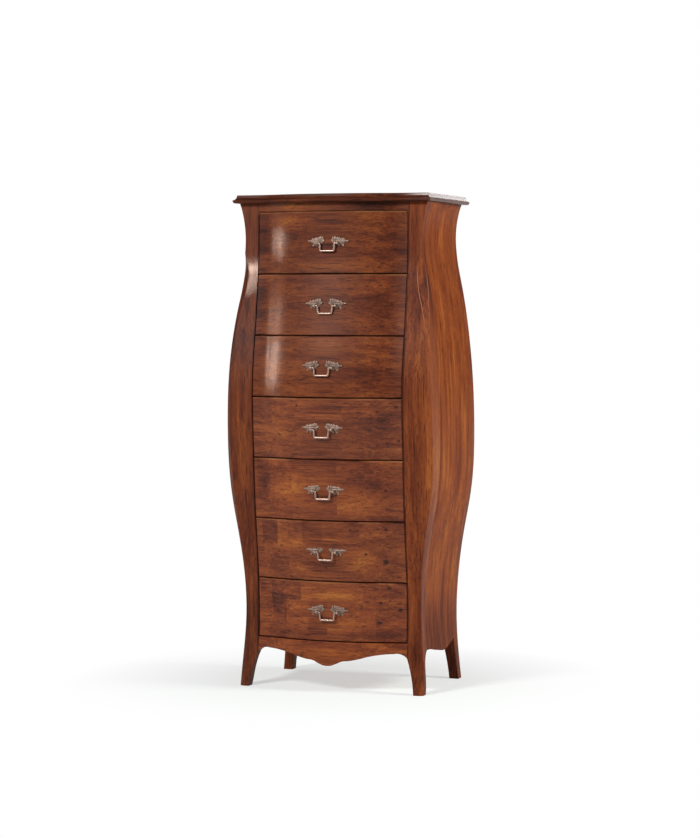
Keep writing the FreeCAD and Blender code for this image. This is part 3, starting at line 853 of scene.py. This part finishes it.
    def bail(self):
        """A bail bent from wire, with its pins at the origin's height and a swollen grip."""
        bpy.ops.object.select_all(action="DESELECT")
        bpy.ops.mesh.primitive_circle_add(
            vertices=16, radius=WIRE_RADIUS, location=(PIN_END, 0, 0), rotation=(0, math.pi / 2, 0),
            fill_type="NGON",
        )
        bail = bpy.context.object
        bpy.ops.object.transform_apply(location=True, rotation=True, scale=True)
        edit(bail)
        bpy.ops.mesh.select_all(action="SELECT")
        bend_x = PIN_END - PIN_LENGTH
        bpy.ops.mesh.extrude_region_move(TRANSFORM_OT_translate={"value": (-PIN_LENGTH, 0, 0)})
        bpy.ops.mesh.spin(
            steps=6, angle=math.radians(90), center=(bend_x, 0, -UPPER_BEND), axis=(0, 1, 0)
        )
        foot_x = bend_x - UPPER_BEND - LEG_IN
        foot_z = -UPPER_BEND - LEG_DOWN
        bpy.ops.mesh.extrude_region_move(TRANSFORM_OT_translate={"value": (-LEG_IN, 0, -LEG_DOWN)})
        bpy.ops.mesh.spin(
            steps=7, angle=math.radians(90), center=(foot_x - LOWER_BEND, 0, foot_z), axis=(0, -1, 0)
        )
        for step, swell in GRIP_STEPS:
            bpy.ops.mesh.extrude_region_move(TRANSFORM_OT_translate={"value": (-step, 0, 0)})
            bpy.ops.transform.resize(value=(1, swell, swell))
        bpy.ops.mesh.delete(type="FACE")
        close()
        modify(bail, "other_half", "MIRROR", use_axis=(True, False, False), merge_threshold=MERGED)
        edit(bail)
        bpy.ops.mesh.select_all(action="SELECT")
        bpy.ops.mesh.normals_make_consistent(inside=False)
        close()
        pick(bail)
        bpy.ops.object.shade_smooth_by_angle(angle=math.radians(40))
        return bail

    def turned(self, sides, radius, height, middle):
        """A cylinder that stands out from the inner face of a drawer front."""
        bpy.ops.mesh.primitive_cylinder_add(
            vertices=sides, radius=radius, depth=height, location=(0, middle, 0),
            rotation=(math.pi / 2, 0, 0),
        )

    def stud(self):
        """A hexagon nut on a stud's end, standing on the inner face of a drawer front."""
        bpy.ops.object.select_all(action="DESELECT")
        self.turned(*NUT)
        stud = bpy.context.object
        bpy.ops.object.transform_apply(location=True, rotation=True, scale=True)
        modify(stud, "chamfer", "BEVEL", width=0.4 * MM, segments=2)
        edit(stud)
        self.turned(*WASHER)
        self.turned(*STUD)
        close()
        pick(stud)
        bpy.ops.object.shade_smooth_by_angle(angle=math.radians(30))
        return stud


# Stage

# Camera: its lens and film width in millimetres, its place in metres, with its distance from the
# back of the chest, and its dip and turn in degrees
LENS = 104.26
FILM_WIDTH = 36.0
CAMERA_X, CAMERA_Z = 2.3462, 1.064
CAMERA_FROM_BACK = 6.484
CAMERA_DIP = 2.81
CAMERA_TURN = 20.443
# Distances in metres from the middle of the floor between which shadows fade
SHADOW_NEAR, SHADOW_FAR = 0.32, 0.8
# The way to the middle of the white sweep behind the chest, and the cosines of the angles from
# there at which it ends and is full
SWEEP_WAY = (-0.356, 0.934, 0.0)
SWEEP_END, SWEEP_FULL = 0.86, 0.94


class CHEST_OT_stage(bpy.types.Operator):
    """Lays the floor, hangs the lights and sets the camera"""
    bl_idname = "chest.stage"
    bl_label = "Stage"

    def execute(self, context):
        stage = context.scene.chest_stage
        self.floor(stage)
        self.world(stage)
        post = bpy.data.objects["dressed_front_post_left"]
        top = bpy.data.objects["dressed_top_board"]
        # Place, target, width and height in metres, power, the only piece lit, and whether it is a glint
        self.lamp("key", (-1.35, -3.49, 3.09), (0, -0.15, 0.75), 0.9, 0.9, stage.key)
        self.lamp("side", (3.69, 0.2, 2.31), (0.26, -0.1, 0.7), 1.0, 1.0, stage.side)
        self.lamp("strip", (-2.55, -1.75, 1.35), (-0.15, -0.15, 1.05), 0.07, 0.9, stage.strip, None, True)
        self.lamp("card", (-1.204, -2.36, 1.67), (-0.235, -0.12, 1.15), 0.2, 0.11, stage.card, post, True)
        self.lamp("rim", (0.76, 2.39, 1.91), (0.28, 0, 1.34), 1.0, 0.7, stage.rim, top)
        camera = bpy.data.objects.new("camera", bpy.data.cameras.new("camera"))
        context.scene.collection.objects.link(camera)
        camera.data.sensor_width = FILM_WIDTH
        camera.data.lens = LENS
        camera.data.clip_end = 100.0
        camera.location = (CAMERA_X, CAD_HIGH.y - CAMERA_FROM_BACK, CAMERA_Z)
        camera.rotation_euler = (math.radians(90 - CAMERA_DIP), 0, math.radians(CAMERA_TURN))
        context.scene.camera = camera
        context.scene.view_settings.view_transform = "Standard"
        return {"FINISHED"}

    def floor(self, stage):
        """A paper floor with soft shadows near the chest that turns white further out."""
        bpy.ops.object.select_all(action="DESELECT")
        bpy.ops.mesh.primitive_plane_add(size=60, location=(0, 0, 0))
        floor = bpy.context.object
        floor.name = "floor"
        material = new_material("matt_paper_floor")
        path = add(material, "ShaderNodeLightPath").outputs
        paper = add(material, "ShaderNodeBsdfDiffuse", {"Color": linear(stage.floor)})
        glow = add(material, "ShaderNodeEmission", {"Color": (1, 1, 1, 1), "Strength": 1.0})
        where = add(material, "ShaderNodeTexCoord").outputs["Object"]
        away = add(material, "ShaderNodeVectorMath", {0: where}, operation="LENGTH").outputs["Value"]
        clear = add(
            material, "ShaderNodeMapRange", {0: away, 1: SHADOW_NEAR, 2: SHADOW_FAR, 3: 0.55, 4: 1.0}
        ).outputs[0]
        seen = path["Is Camera Ray"]
        for ray in ("Is Glossy Ray", "Is Transmission Ray"):
            seen = add(material, "ShaderNodeMath", {0: seen, 1: path[ray]}, operation="MAXIMUM").outputs[0]
        share = add(material, "ShaderNodeMath", {0: seen, 1: clear}, operation="MULTIPLY").outputs[0]
        mixed = add(material, "ShaderNodeMixShader", {0: share, 1: paper.outputs[0], 2: glow.outputs[0]})
        add(material, "ShaderNodeOutputMaterial", {"Surface": mixed.outputs[0]})
        floor.data.materials.append(material)
        floor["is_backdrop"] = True

    def world(self, stage):
        """White behind the chest, and a dim room in front of it."""
        world = bpy.data.worlds.new("studio")
        world.use_nodes = True
        world.node_tree.nodes.clear()
        bpy.context.scene.world = world
        path = add(world, "ShaderNodeLightPath").outputs
        facing = add(world, "ShaderNodeTexCoord").outputs["Generated"]
        back = add(
            world, "ShaderNodeVectorMath", {0: facing, 1: SWEEP_WAY}, operation="DOT_PRODUCT"
        ).outputs["Value"]
        sweep = add(
            world, "ShaderNodeMapRange", {0: back, 1: SWEEP_END, 2: SWEEP_FULL, 3: 0.03, 4: 1.0}
        ).outputs[0]
        mirror = add(
            world, "ShaderNodeMath", {0: path["Is Glossy Ray"], 1: path["Is Transmission Ray"]},
            operation="MAXIMUM",
        ).outputs[0]
        shown = add(
            world, "ShaderNodeMix", {0: mirror, 2: stage.fill, 3: sweep}, data_type="FLOAT"
        ).outputs[0]
        strength = add(
            world, "ShaderNodeMath", {0: shown, 1: path["Is Camera Ray"]}, operation="MAXIMUM"
        ).outputs[0]
        light = add(world, "ShaderNodeBackground", {"Color": (1, 1, 1, 1), "Strength": strength})
        add(world, "ShaderNodeOutputWorld", {"Surface": light.outputs[0]})

    def lamp(self, name, place, target, width, height, power, only=None, glint=False):
        """A soft lamp aimed at a target, flagged off from all but one piece where one is named.

        Such a lamp, and a glint, is seen only in polished surfaces."""
        light = bpy.data.lights.new(name, "AREA")
        light.shape = "RECTANGLE"
        light.size = width
        light.size_y = height
        light.energy = power
        lamp = bpy.data.objects.new(name, light)
        bpy.context.scene.collection.objects.link(lamp)
        lamp.location = place
        lamp.visible_diffuse = not (only or glint)
        lamp.rotation_euler = (Vector(target) - Vector(place)).to_track_quat("-Z", "Y").to_euler()
        if glint:
            light.color = linear(bpy.context.scene.chest_stage.glint)[:3]
        if only:
            lit = bpy.data.collections.new(name + "_lights")
            lit.objects.link(only)
            lamp.light_linking.receiver_collection = lit


class CHEST_PT_panel(bpy.types.Panel):
    """Lists the steps that dress the chest"""
    bl_idname = "CHEST_PT_panel"
    bl_label = "Chest"
    bl_space_type = "VIEW_3D"
    bl_region_type = "UI"
    bl_category = "Chest"

    def draw(self, context):
        for step in STEPS:
            self.layout.operator(step.bl_idname)
        for group in (context.scene.chest_finish, context.scene.chest_stage):
            for name in group.__annotations__:
                self.layout.prop(group, name)


STEPS = (CHEST_OT_fronts, CHEST_OT_case, CHEST_OT_inside, CHEST_OT_pulls, CHEST_OT_stage)
CLASSES = (CHEST_PG_finish, CHEST_PG_stage) + STEPS + (CHEST_PT_panel,)


def register():
    for cls in CLASSES:
        bpy.utils.register_class(cls)
    bpy.types.Scene.chest_finish = PointerProperty(type=CHEST_PG_finish)
    bpy.types.Scene.chest_stage = PointerProperty(type=CHEST_PG_stage)


def unregister():
    del bpy.types.Scene.chest_stage
    del bpy.types.Scene.chest_finish
    for cls in reversed(CLASSES):
        bpy.utils.unregister_class(cls)


def main():
    register()
    bpy.ops.chest.fronts()
    bpy.ops.chest.case()
    bpy.ops.chest.inside()
    bpy.ops.chest.pulls()
    bpy.ops.chest.stage()
    bpy.context.view_layer.update()


if __name__ == "__main__":
    main()
